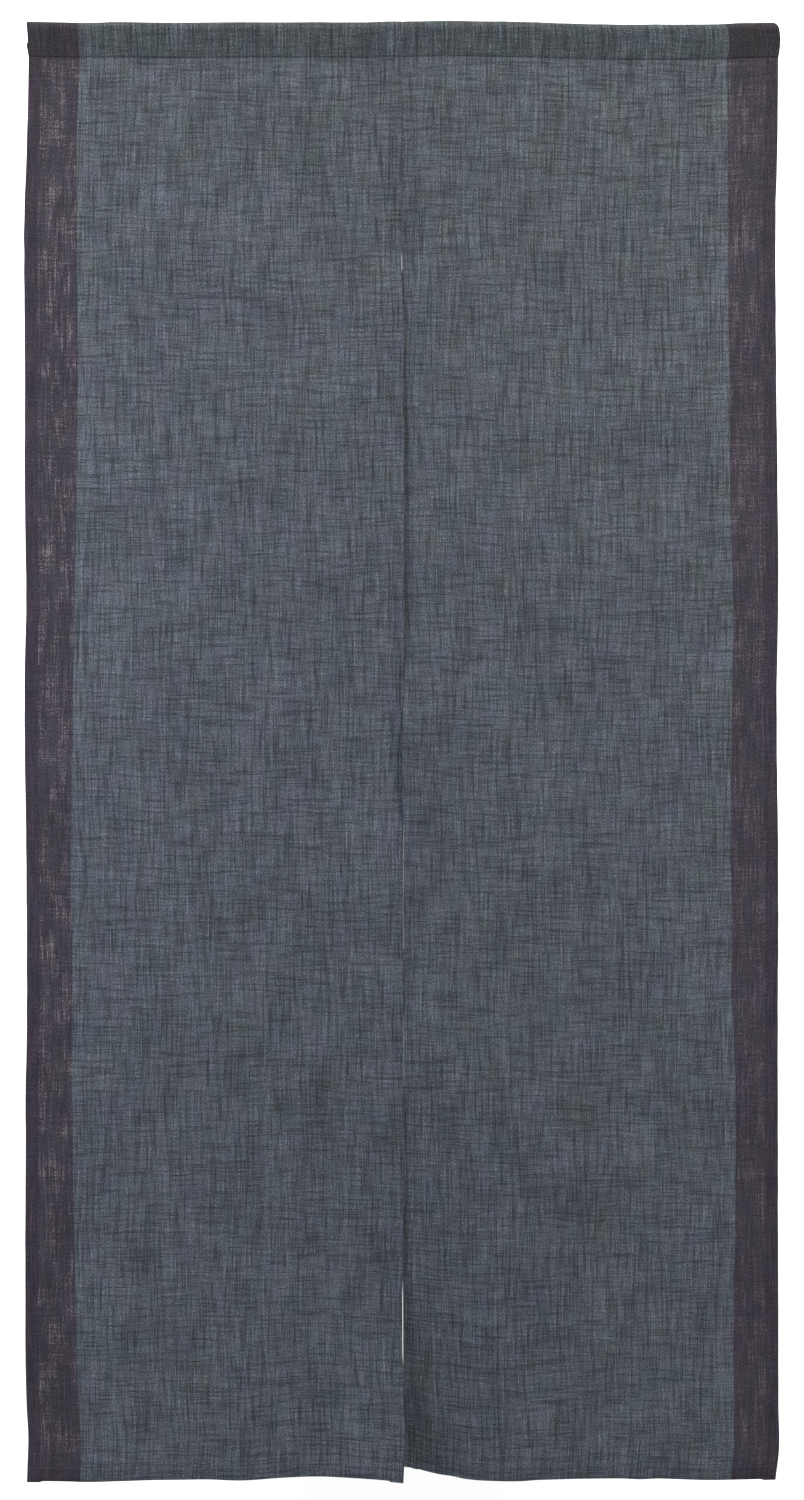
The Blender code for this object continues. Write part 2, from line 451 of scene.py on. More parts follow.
def panel_edges(side, drop, sizes):
    """Where a panel's outer and inner fold lines lie across the curtain at a drop."""
    outward, inset = OUTWARD[side], edge_inset(sizes)
    wobble = 0.35 * MM * unevenness(SEEDS[side].edge, drop / 0.021, 0.5)
    reach = sizes.width / 2 + curve_through(SIDES, side + "_out", drop) * MM - inset
    inner = curve_through(SLITS, side, drop) * MM + outward * inset
    return outward * reach + wobble, inner


def panel_relief(side, inward, drop, sizes):
    """How uneven a panel hangs, in metres to the back.

    Long upright swells, small dents between them, and puckers that fade away from the hems, from
    the sewn seam and from the stitching of the heading.
    """
    seed = SEEDS[side].panel
    swell = 0.9 * unevenness(seed, inward / 0.060, drop / 0.42) * grown(drop, 0.05, 0.7)
    dents = 0.30 * unevenness(seed + 1, inward / 0.024, drop / 0.075)
    # One pucker of a side hem is this long
    hem_pucker = 0.0085
    from_slit = sizes.width / 2 - inward
    from_outer_hem, from_inner_hem = inward - sizes.side_hem, from_slit - sizes.side_hem
    outer_hem = 0.16 * unevenness(seed + 2, drop / hem_pucker, 0.5) * bell(from_outer_hem, 0.010)
    inner_hem = 0.13 * unevenness(seed + 3, drop / hem_pucker, 0.5) * bell(from_inner_hem, 0.010)
    sewn = 1.0 - grown(drop, sizes.seam - 0.01, sizes.seam + 0.01)
    pucker = 0.30 * unevenness(seed + 4, drop / 0.011, 0.5) * bell(from_slit, 0.012)
    seam = (pucker + 1.3 * bell(from_slit, 0.0022)) * sewn
    heading = 0.30 * unevenness(seed + 5, inward / 0.012, 0.5) * bell(drop - sizes.pocket_drop, 0.022)
    hem_line = sizes.drop - sizes.bottom_hem
    bottom = 0.35 * unevenness(seed + 6, inward / 0.017, 0.5) * bell(drop - hem_line, 0.020)
    sewn_flat = grown(drop, sizes.pocket_drop, sizes.pocket_drop + 0.004)
    return (swell + dents + outer_hem + inner_hem + seam + heading + bottom) * sewn_flat * MM


def panel_place(side, inward, drop, back, sizes):
    """Points of a panel's cloth: across the curtain, down it, and back from its front face.

    Across is a straight share of the way between the two fold lines. Down is the drop with the
    dip of the rod and the draw of the hem line. Back is the sum of the panel's folds, of the slit
    edge's own sway, of the hem's curl, of its unevenness and of the layer that the point lies in.
    """
    outer, inner = panel_edges(side, drop, sizes)
    across = outer + (inner - outer) * inward / (sizes.width / 2)
    share = (drop - sizes.pocket_drop) / (sizes.drop - sizes.pocket_drop)
    dip = curve_through(TOPS, "dip", across) * (1 - share)
    lift = curve_through(LIFTS[side], "lift", across) * np.clip(share, 0.0, None) ** 6
    depth = sum(
        fold.depth * grown(drop, fold.starts, fold.full) * bell(across - fold.across, fold.width)
        for fold in FOLDS
        if fold.panel == side
    )
    depth = depth + curve_through(SLITS, side + "_back", drop) * bell(across - inner, 0.045)
    curled = np.clip((drop - sizes.drop + 1.3 * sizes.bottom_hem) / sizes.bottom_hem, 0.0, None)
    depth = depth + CURLS[side] * curled**1.5
    front = depth * MM - sizes.foot / 2 + sizes.thickness / 2
    y = front + panel_relief(side, inward, drop, sizes) + back
    return np.stack(np.broadcast_arrays(across, y, -drop - (dip - lift) * MM), axis=-1)


def double_hem(hem, layer):
    """A double hem in section, from its raw edge to the face: (inward, back, flat, mirror).

    The raw edge lies in the middle layer and runs inward to the hem's inner fold, a half circle
    one layer high. The back layer runs out again to the outer fold, a half circle two layers
    high, which ends on the face. flat is the place on the uncut cloth, counted from the outer
    fold, and mirror is 1 where the cloth faces forward and -1 where it faces back.
    """
    angle = np.linspace(math.pi, 0.0, 6)
    small = layer / 2
    outer_turn, inner_turn = math.pi * layer, math.pi * small
    middle = np.linspace(RAW_EDGE, hem, 4)[:-1]
    back = np.linspace(hem, 0.0, 4)[1:-1]
    inward = [middle, hem + small * np.sin(angle), back, -layer * np.sin(angle)]
    behind = [
        np.full(middle.shape, layer),
        1.5 * layer + small * np.cos(angle),
        np.full(back.shape, 2 * layer),
        layer - layer * np.cos(angle),
    ]
    flat = [
        -outer_turn - hem - inner_turn - (hem - middle),
        -outer_turn - hem - small * angle,
        -outer_turn - back,
        -layer * angle,
    ]
    mirror = [np.ones(middle.shape), -np.cos(angle), -np.ones(back.shape), np.cos(angle)]
    return tuple(np.concatenate(parts) for parts in (inward, behind, flat, mirror))


def across_panel(sizes, steps):
    """A panel from raw edge to raw edge: (inward, back, flat), with a double hem at both sides."""
    half = sizes.width / 2
    inward, back, flat, _ = double_hem(sizes.side_hem, sizes.layer)
    face = np.linspace(0.0, half, steps + 2)[1:-1]
    hem_face = np.array([0.0012, 0.0028, sizes.side_hem * 0.5, sizes.side_hem])
    face = np.unique(np.concatenate([face, hem_face, half - hem_face]))
    inward = np.concatenate([inward, face, half - inward[::-1]])
    back = np.concatenate([back, np.zeros(face.shape), back[::-1]])
    flat = np.concatenate([flat, face, half - flat[::-1]])
    return inward, back, flat


def cloth_mesh(middle, flat_places, band, thickness):
    """A closed sheet from the grid of its middle surface.

    Each point is pushed half the thickness out along the surface's normal for the face, and half
    the other way for the reverse. A rim joins the two. The map named cloth holds the place on the
    flat cloth in metres, and the attribute named band how deep a point lies in the dark band.
    """
    rows, columns = middle.shape[:2]
    along = np.gradient(middle, axis=0)
    across = np.gradient(middle, axis=1)
    normal = np.cross(along, across)
    normal /= np.linalg.norm(normal, axis=-1, keepdims=True)
    points = np.stack([middle + normal * thickness / 2, middle - normal * thickness / 2])
    index = np.arange(2 * rows * columns).reshape(2, rows, columns)

    def quads(a, b, c, d):
        return np.stack([a, b, c, d], axis=-1).reshape(-1, 4)

    face, reverse = index
    faces = np.concatenate([
        quads(face[:-1, :-1], face[1:, :-1], face[1:, 1:], face[:-1, 1:]),
        quads(reverse[:-1, :-1], reverse[:-1, 1:], reverse[1:, 1:], reverse[1:, :-1]),
        quads(face[0, :-1], face[0, 1:], reverse[0, 1:], reverse[0, :-1]),
        quads(face[-1, 1:], face[-1, :-1], reverse[-1, :-1], reverse[-1, 1:]),
        quads(face[1:, 0], face[:-1, 0], reverse[:-1, 0], reverse[1:, 0]),
        quads(face[:-1, -1], face[1:, -1], reverse[1:, -1], reverse[:-1, -1]),
    ])
    places = np.concatenate([flat_places.reshape(-1, 2)] * 2)
    depth = np.concatenate([band.reshape(-1)] * 2)
    return points.reshape(-1, 3), faces, places, depth


def add_piece(name, points, faces, material, places=None, band=None):
    """An object at the origin from arrays of points and quads."""
    mesh = bpy.data.meshes.new(name)
    mesh.vertices.add(len(points))
    mesh.vertices.foreach_set("co", points.astype(np.float32).ravel())
    mesh.loops.add(faces.size)
    mesh.loops.foreach_set("vertex_index", faces.astype(np.int32).ravel())
    mesh.polygons.add(len(faces))
    mesh.polygons.foreach_set("loop_start", np.arange(0, faces.size, faces.shape[1], dtype=np.int32))
    mesh.update(calc_edges=True)
    if places is not None:
        layer = mesh.uv_layers.new(name="cloth")
        layer.data.foreach_set("uv", places[faces.ravel()].astype(np.float32).ravel())
    if band is not None:
        attribute = mesh.attributes.new("band", "FLOAT", "POINT")
        attribute.data.foreach_set("value", band.astype(np.float32))
    mesh.validate()
    mesh.shade_smooth()
    mesh.materials.append(material)
    piece = bpy.data.objects.new(name, mesh)
    bpy.context.scene.collection.objects.link(piece)
    return piece


def joined(rows):
    """Several meshes, each a pair of points and quads, as one."""
    offsets = np.cumsum([0] + [len(points) for points, _ in rows[:-1]])
    points = np.concatenate([points for points, _ in rows])
    faces = np.concatenate([quads + offset for (_, quads), offset in zip(rows, offsets)])
    return points, faces


def band_depth(side, inward, drop):
    """How far inside the dark band a place lies, in millimetres. Outside it the value is negative."""
    return curve_through(BANDS, side, drop) - inward / MM


def on_flat_cloth(side, flat_across, flat_down, drop, sizes):
    """Where a grid lies on the map of the flat cloth, and how deep it lies in the dark band."""
    across = OUTWARD[side] * (sizes.width / 2 - flat_across + MAP_SHIFT)
    places = np.stack(np.broadcast_arrays(across, flat_down), axis=-1)
    return places, band_depth(side, flat_across, drop)


def turned(*grids):
    """The same grids with their columns the other way round."""
    return [grid[:, ::-1] for grid in grids]


def make_panel(side, sizes, material, slate, plum):
    """One panel: its face with a double hem down both sides and one along the bottom.

    Across it runs from raw edge to raw edge, and down from the heading to the raw edge inside the
    bottom hem. Where the bottom hem folds up the side hems with it, each layer lies as much
    further back as the three layers of the side hem need.
    """
    inward, side_back, flat_across = across_panel(sizes, PANEL_ACROSS)
    rise, hem_back, flat_down, mirror = (
        values[::-1] for values in double_hem(sizes.bottom_hem, sizes.layer)
    )
    fold_line = sizes.drop - edge_inset(sizes)
    hem_top = fold_line - sizes.bottom_hem
    free = sizes.pocket_drop + 0.006
    face = np.concatenate([
        np.linspace(sizes.pocket_drop, free, 4)[:-1],
        np.linspace(free, hem_top, PANEL_DOWN),
        [fold_line - sizes.bottom_hem * 0.5],
    ])
    drop = np.concatenate([face, fold_line - rise])[:, None]
    hem_back = np.concatenate([np.zeros(face.shape), hem_back])[:, None]
    mirror = np.concatenate([np.ones(face.shape), mirror])[:, None]
    flat_down = np.concatenate([face, fold_line - flat_down])[:, None]

    edge = np.minimum(inward, sizes.width / 2 - inward)
    doubled = 1.0 - grown(edge, sizes.side_hem, sizes.side_hem + 0.003)
    back = (
        hem_back * (1 + 2 * doubled)
        + (1 - mirror) * sizes.layer * doubled
        + side_back * mirror
    )
    below = np.clip(drop - fold_line, 0.0, None)
    middle = panel_place(side, inward, drop + 3 * below * doubled, back, sizes)
    places, band = on_flat_cloth(side, flat_across, flat_down, flat_down, sizes)
    if side == "right":
        middle, places, band = turned(middle, places, band)
    points, faces, places, band = cloth_mesh(middle, places, band, sizes.thickness)
    piece = add_piece("cloth_" + side, points, faces, material, places, band)
    threads = make_hem_stitches(side, sizes, slate, plum)
    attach(piece, "root")
    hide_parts("panel_" + side)


def pocket_path(sizes, half_layer):
    """The rod pocket in section, from its front foot over the rod to the edge turned under.

    Gives (back, drop, flat) along the middle of the cloth: straight up the front wall, round the
    rod, straight down the back wall, a half circle at the fold, and up again inside the wall.
    """
    outside = sizes.rod_room / 2 + sizes.pocket_wall
    foot = sizes.foot / 2
    below = sizes.pocket_drop - outside
    lean = math.asin(outside / math.hypot(below, foot)) - math.atan2(foot, below)
    radius = outside - half_layer
    angle = np.linspace(math.pi + lean, -lean, 25)
    arc = np.stack([radius * np.cos(angle), outside - radius * np.sin(angle)], axis=-1)
    front_foot = np.array([-foot + half_layer, sizes.pocket_drop])
    # The back wall folds under a little below the stitching
    past_stitching = 0.0016
    back_foot = np.array([foot - half_layer, sizes.pocket_drop + past_stitching])
    share = np.linspace(0.0, 1.0, 13)[:-1, None]
    front = front_foot + (arc[0] - front_foot) * share
    rear = (back_foot + (arc[-1] - back_foot) * share)[::-1]
    turn = np.linspace(0.0, math.pi, 7)[1:, None]
    small = sizes.layer / 2
    fold = back_foot + small * np.concatenate([np.cos(turn) - 1, np.sin(turn)], axis=1)
    up = (arc[-1] - back_foot) / np.linalg.norm(arc[-1] - back_foot)
    inside = fold[-1] + up * np.linspace(0.0, sizes.turn_under, 5)[1:, None]
    path = np.concatenate([front, arc, rear, fold, inside])
    step = np.linalg.norm(np.diff(path, axis=0), axis=1)
    run = np.concatenate([[0.0], np.cumsum(step)])
    return path[:, 0], path[:, 1], sizes.pocket_drop - run


def pocket_place(side, inward, path, inside, sizes):
    """Points of the heading's cloth, `inside` further in than the wall that shows.

    Across is a straight share of the way between the pocket's open end and the middle seam. The
    section's own normal, a quarter turn from its direction, gives the way in. The stitching at the
    foot presses the layers together.
    """
    back, drop = path
    along = np.stack([np.gradient(back), np.gradient(drop)], axis=-1)
    along /= np.linalg.norm(along, axis=-1, keepdims=True)
    outward, inset = OUTWARD[side], edge_inset(sizes)
    half = sizes.width / 2
    level = drop[:, None]
    behind = curve_through(ENDS, side + "_behind", level) * grown(back[:, None], -0.001, 0.001)
    out = curve_through(ENDS, side + "_out", level) + behind
    outer = outward * (half + out * MM - inset)
    inner = curve_through(SLITS, side, level) * MM + outward * inset
    across = outer + (inner - outer) * inward / half
    dip = curve_through(TOPS, "dip", across) * MM
    above = sizes.pocket_drop - level
    dents = 0.28 * MM * unevenness(SEEDS[side].heading, inward / 0.020, level / 0.012)
    dents = dents * grown(above, 0.0, 0.006)
    seam = 0.25 * MM * bell(half - inward, 0.004) * grown(above, -0.01, 0.004)
    pressed = 0.55 + 0.45 * grown(above, 0.0, 0.008)
    inward_way = inside * pressed + dents + seam
    y = back[:, None] - along[:, 1:] * inward_way
    z = -level - dip - along[:, :1] * inward_way
    return np.stack(np.broadcast_arrays(across, y, z), axis=-1)


def make_heading(sizes, material, thread):
    """The rod pocket: the tops of both panels carried over the rod and down to the stitching.

    Each half is a profile, the pocket in section, carried across the panel from hem to hem, with
    the side hems folded to the inside.
    """
    inward, hem_back, flat_across = across_panel(sizes, HEADING_ACROSS)
    back, drop, flat_down = pocket_path(sizes, sizes.thickness / 2)
    halves = []
    flat_down = flat_down[:, None]
    level = np.full(flat_down.shape, sizes.pocket_drop)
    for side in OUTWARD:
        middle = pocket_place(side, inward, (back, drop), hem_back, sizes)
        places, band = on_flat_cloth(side, flat_across, flat_down, level, sizes)
        if side == "left":
            middle, places, band = turned(middle, places, band)
        halves.append(cloth_mesh(middle, places, band, sizes.thickness))
    points, faces = joined([half[:2] for half in halves])
    places, band = (np.concatenate([half[k] for half in halves]) for k in (2, 3))
    piece = add_piece("rod_pocket", points, faces, material, places, band)
    threads = [make_heading_stitches(sizes, thread)]
    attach(piece, "root")
    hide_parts("heading")


def stitches_on(path, outward, sizes):
    """A row of stitches along a path on the cloth: points and quads.

    The path is cut into equal steps of one pitch. Each stitch is a tube of four corners and four
    stations along its own step, with both its ends below the face of the cloth.
    """
    run = np.concatenate([[0.0], np.cumsum(np.linalg.norm(np.diff(path, axis=0), axis=1))])
    count = max(int(run[-1] / sizes.stitch_pitch), 1)
    centre_run = (np.arange(count) + 0.5) * run[-1] / count

    def read(values, at):
        return np.stack([np.interp(at, run, values[:, k]) for k in range(3)], axis=-1)

    centre, out = read(path, centre_run), read(outward, centre_run)
    ahead = read(path, centre_run + sizes.stitch / 2) - read(path, centre_run - sizes.stitch / 2)
    ahead /= np.linalg.norm(ahead, axis=1, keepdims=True)
    out /= np.linalg.norm(out, axis=1, keepdims=True)
    beside = np.cross(out, ahead)
    radius = sizes.thread / 2
    station = np.array([-0.5, -0.3, 0.3, 0.5]) * sizes.stitch
    height = np.array([-0.9, 0.35, 0.35, -0.9]) * radius
    corner = np.array([[1.0, 0.0], [0.0, 0.8], [-1.0, 0.0], [0.0, -0.8]]) * radius
    points = (
        centre[:, None, None]
        + ahead[:, None, None] * station[None, :, None, None]
        + out[:, None, None] * (height[:, None] + corner[None, :, 1])[None, ..., None]
        + beside[:, None, None] * corner[None, None, :, :1]
    )
    ring = np.arange(4)
    following = (ring + 1) % 4
    wall = np.stack([ring, following, 4 + following, 4 + ring], axis=-1)
    tube = np.concatenate([wall, wall + 4, wall + 8, [[3, 2, 1, 0], [12, 13, 14, 15]]])
    faces = tube[None] + 16 * np.arange(count)[:, None, None]
    return points.reshape(-1, 3), faces.reshape(-1, 4)


def row_on_panel(side, inward, drop, layers, sizes):
    """A path over a panel and the way out of it there, on the face or on the back of its hem.

    The way out is the cross product of the path's two neighbours, across and down the cloth.
    """
    inward, drop = np.broadcast_arrays(inward, drop)
    small = 0.0004
    back = sizes.layer * layers
    here = panel_place(side, inward, drop, back, sizes)
    beside = panel_place(side, inward + small, drop, back, sizes) - here
    below = panel_place(side, inward, drop + small, back, sizes) - here
    normal = np.cross(below, beside)
    normal *= np.where(normal[:, 1:2] > 0, -1.0, 1.0)
    if layers:
        normal = -normal
    normal /= np.linalg.norm(normal, axis=1, keepdims=True)
    return here + normal * sizes.thickness / 2, normal


def row_on_heading(side, level, front, sizes):
    """A path along the heading's stitching, on its front or its back."""
    inward = np.linspace(0.002, sizes.width / 2 - 0.001, 160)
    path, normal = row_on_panel(side, inward, level, 0, sizes)
    if not front:
        path = path + np.array([0.0, sizes.foot, 0.0])
        normal = -normal
    return path, normal


def make_hem_stitches(side, sizes, slate, plum):
    """The hand stitching of one panel's hems, in plum down the outer hem and slate elsewhere."""
    half = sizes.width / 2
    fold_line = sizes.drop - edge_inset(sizes)
    # Rows run this far inside a hem's edge, and stop short of the heading and the corners
    margin, clear = 0.0012, 0.002
    down = np.linspace(sizes.pocket_drop + 2 * clear, fold_line - sizes.bottom_hem, 500)
    over = np.linspace(clear, half - clear, 160)
    level = fold_line - sizes.bottom_hem + margin

    def both_faces(inward, drop):
        """The same row on the face of the cloth and on the back of its hem."""
        return [row_on_panel(side, inward, drop, layers, sizes) for layers in (0, 2)]

    outer = both_faces(sizes.side_hem - margin, down)
    inner = both_faces(half - sizes.side_hem + margin, down)
    bottom = both_faces(over, level)
    threads = []
    for name, rows, material in (
        ("outer_hem_thread_" + side, outer, plum),
        ("hem_thread_" + side, inner + bottom, slate),
    ):
        points, faces = joined([stitches_on(path, out, sizes) for path, out in rows])
        piece = add_piece(name, points, faces, material)
        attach(piece, "root")
        threads.append(piece)
    return threads


def make_heading_stitches(sizes, material):
    """The row that closes the rod pocket, front and back, the seam, and a bar at both its ends."""
    # The closing row, how far the seam's row lies past the middle, and how long a bar is
    closing, past_middle, bar = sizes.pocket_drop + 0.0006, 0.0001, 0.017
    paths = []
    for side in OUTWARD:
        paths += [row_on_heading(side, closing, front, sizes) for front in (True, False)]
        if side == "left":
            down = np.linspace(sizes.pocket_drop + 0.003, sizes.seam + 0.030, 140)
            paths.append(row_on_panel(side, sizes.width / 2 + past_middle, down, 0, sizes))
        inward = sizes.width / 2 - np.linspace(0.0, bar, 20)
        for level in (sizes.pocket_drop + 0.0011, sizes.seam - 0.005):
            paths.append(row_on_panel(side, inward, level, 0, sizes))
    points, faces = joined([stitches_on(path, out, sizes) for path, out in paths])
    piece = add_piece("heading_thread", points, faces, material)
    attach(piece, "root")
    return piece


class Graph:
    """A short way to add nodes to a tree and to join them."""

    def __init__(self, tree):
        self.tree = tree

    def feed(self, node, inputs):
        """Join each value to its socket of the node, or set it there."""
        for key, value in inputs.items():
            if isinstance(value, bpy.types.NodeSocket):
                self.tree.links.new(value, node.inputs[key])
            else:
                node.inputs[key].default_value = value
        return node

    def add(self, kind, inputs=None, **settings):
        node = self.tree.nodes.new(kind)
        for key, value in settings.items():
            setattr(node, key, value)
        return self.feed(node, inputs or {})

    def math(self, operation, *values):
        return self.add("ShaderNodeMath", dict(enumerate(values)), operation=operation).outputs[0]

    def ramp(self, value, low, high, to_low=0.0, to_high=1.0):
        """A soft step from one value to another."""
        inputs = {"Value": value, "From Min": low, "From Max": high, "To Min": to_low, "To Max": to_high}
        step = self.add("ShaderNodeMapRange", inputs, interpolation_type="SMOOTHSTEP")
        return step.outputs["Result"]

    def noise(self, x, y, z, detail=1.0, result="Fac"):
        vector = self.add("ShaderNodeCombineXYZ", {"X": x, "Y": y, "Z": z}).outputs[0]
        inputs = {"Vector": vector, "Scale": 1.0, "Detail": detail, "Roughness": 0.5}
        return self.add("ShaderNodeTexNoise", inputs).outputs[result]

    def patches(self, first, second, sizes, seed, **look):
        """Noise whose patches have a size along each of two coordinates."""
        x, y = (self.math("DIVIDE", *pair) for pair in zip((first, second), sizes))
        return self.noise(x, y, seed, **look)

    def mix(self, share, first, second, blend="MIX"):
        inputs = {0: share, 6: first, 7: second}
        return self.add("ShaderNodeMix", inputs, data_type="RGBA", blend_type=blend).outputs[2]


def node_group(name, inputs, outputs):
    """An empty shader node group with its own graph. All it takes and gives is numbers, but Tint."""
    group = bpy.data.node_groups.new(name, "ShaderNodeTree")
    for label, default in inputs.items():
        socket = group.interface.new_socket(label, in_out="INPUT", socket_type="NodeSocketFloat")
        socket.default_value = default
    for label in outputs:
        kind = "NodeSocketColor" if label == "Tint" else "NodeSocketFloat"
        group.interface.new_socket(label, in_out="OUTPUT", socket_type=kind)
    graph = Graph(group)
    return group, graph, graph.add("NodeGroupInput").outputs, graph.add("NodeGroupOutput")


def yarn_group():
    """One set of parallel yarns, in millimetres.

    Each yarn is a strip of one pitch. Slub is smooth noise that runs along the yarn and changes
    from yarn to yarn, and Round is high along the yarn's middle and low at its edges.
    """
    inputs = {"Across": 0.0, "Along": 0.0, "Pitch": 1.0, "Length": 20.0, "Wander": 0.5, "Seed": 0.0}
    group, graph, given, out = node_group("Slub yarns", inputs, ("Slub", "Round"))
    drift = graph.patches(given["Along"], given["Across"], (110.0, 60.0), given["Seed"])
    drift = graph.math("MULTIPLY", graph.math("SUBTRACT", drift, 0.5), given["Wander"])
    strip = graph.math("DIVIDE", graph.math("ADD", given["Across"], drift), given["Pitch"])
    yarn = graph.math("FLOOR", strip)
    slub = graph.noise(
        graph.math("DIVIDE", given["Along"], given["Length"]),
        graph.math("MULTIPLY_ADD", yarn, 0.837, given["Seed"]),
        graph.math("MULTIPLY", yarn, 0.413),
    )
    part = graph.math("MULTIPLY_ADD", graph.math("FRACT", strip), 2.0, -1.0)
    round_top = graph.math("SUBTRACT", 1.0, graph.math("MULTIPLY", part, part))
    graph.feed(out, {"Slub": slub, "Round": round_top})
    return group


def weave_group(yarns):
    """The slub weave: how pale its warp, its weft and its knots are, how open and how high it is.

    Yarns run both ways, in plain ones and in broader slub streaks. A thick place is dark, and Slub
    marks the thickest. Where thin warp and thin weft cross, the cloth is open. Loose marks patches,
    and Fleck is where the warp of a patch is very thin. Tint is a grey that leans a little to other
    hues, also in patches.
    """
    inputs = {"Yarn Pitch": 0.62, "Slub Pitch": 1.45, "Warp Slub": 40.0, "Weft Slub": 36.0}
    outputs = ("Warp", "Weft", "Slub", "Nep", "Open", "Fleck", "Loose", "Height", "Tint")
    group, graph, given, out = node_group("Slub weave", inputs, outputs)
    place = graph.add("ShaderNodeUVMap", uv_map="cloth").outputs["UV"]
    place = graph.add("ShaderNodeSeparateXYZ", {"Vector": place}).outputs
    across = graph.math("MULTIPLY", place["X"], 1000.0)
    down = graph.math("MULTIPLY", place["Y"], 1000.0)

    def strands(first, second, pitch, length, wander, seed):
        values = {"Across": first, "Along": second, "Pitch": pitch}
        values.update({"Length": length, "Wander": wander, "Seed": seed})
        return graph.add("ShaderNodeGroup", values, node_tree=yarns).outputs

    def paleness(broad, fine):
        """How far the broad and the fine yarns together are thinner than usual."""
        both = graph.math("MULTIPLY_ADD", fine["Slub"], 0.8, broad["Slub"])
        return graph.math("SUBTRACT", 0.9, both)

    # A slub of the plain yarns is this much of the length of a broad streak
    fine_length = 0.4
    short_warp = graph.math("MULTIPLY", given["Warp Slub"], fine_length)
    short_weft = graph.math("MULTIPLY", given["Weft Slub"], fine_length)
    warp_fine = strands(across, down, given["Yarn Pitch"], short_warp, 2.0, 3.1)
    weft_fine = strands(down, across, given["Yarn Pitch"], short_weft, 6.0, 17.7)
    warp_broad = strands(across, down, given["Slub Pitch"], given["Warp Slub"], 3.0, 41.3)
    weft_broad = strands(down, across, given["Slub Pitch"], given["Weft Slub"], 9.0, 71.9)
    warp = paleness(warp_broad, warp_fine)
    weft = paleness(weft_broad, weft_fine)
    thick_warp = graph.ramp(warp_broad["Slub"], 0.56, 0.66, 0.0, 0.95)
    thick_weft = graph.ramp(weft_broad["Slub"], 0.54, 0.64)
    nep = graph.patches(across, down, (1.4, 2.2), 9.0)
    cloud = graph.patches(across, down, (60.0, 90.0), 5.0, detail=2.5)
    knots = graph.math("ADD", nep, graph.math("MULTIPLY_ADD", cloud, 0.24, -0.62))
    tint = graph.patches(across, down, (30.0, 45.0), 3.0, detail=3.0, result="Color")
    fleck = graph.math("MULTIPLY_ADD", weft, 0.7, warp)
    fleck = graph.math("ADD", graph.math("SUBTRACT", nep, 0.5), fleck)
    loose = graph.ramp(graph.patches(across, down, (15.0, 38.0), 23.0), 0.30, 0.66)

    checks = graph.math("MAXIMUM", warp_fine["Round"], weft_fine["Round"])
    thick = graph.math("ADD", warp_broad["Slub"], weft_broad["Slub"])
    results = {
        "Warp": warp,
        "Weft": weft,
        "Slub": graph.math("MAXIMUM", thick_warp, thick_weft),
        "Nep": knots,
        "Open": graph.ramp(graph.math("ADD", warp, weft), -0.35, 0.35),
        "Fleck": graph.math("MULTIPLY", graph.ramp(fleck, -0.04, 0.34), loose),
        "Loose": loose,
        "Height": graph.math("MULTIPLY_ADD", thick, 0.7, graph.math("MULTIPLY", checks, 0.4)),
        "Tint": graph.mix(0.14, (0.5, 0.5, 0.5, 1.0), tint),
    }
    graph.feed(out, results)
    return group


def new_material(name):
    """A material that has only its Principled shader, with its graph."""
    material = bpy.data.materials.new(name)
    material.use_nodes = True
    return material, Graph(material.node_tree), material.node_tree.nodes["Principled BSDF"]


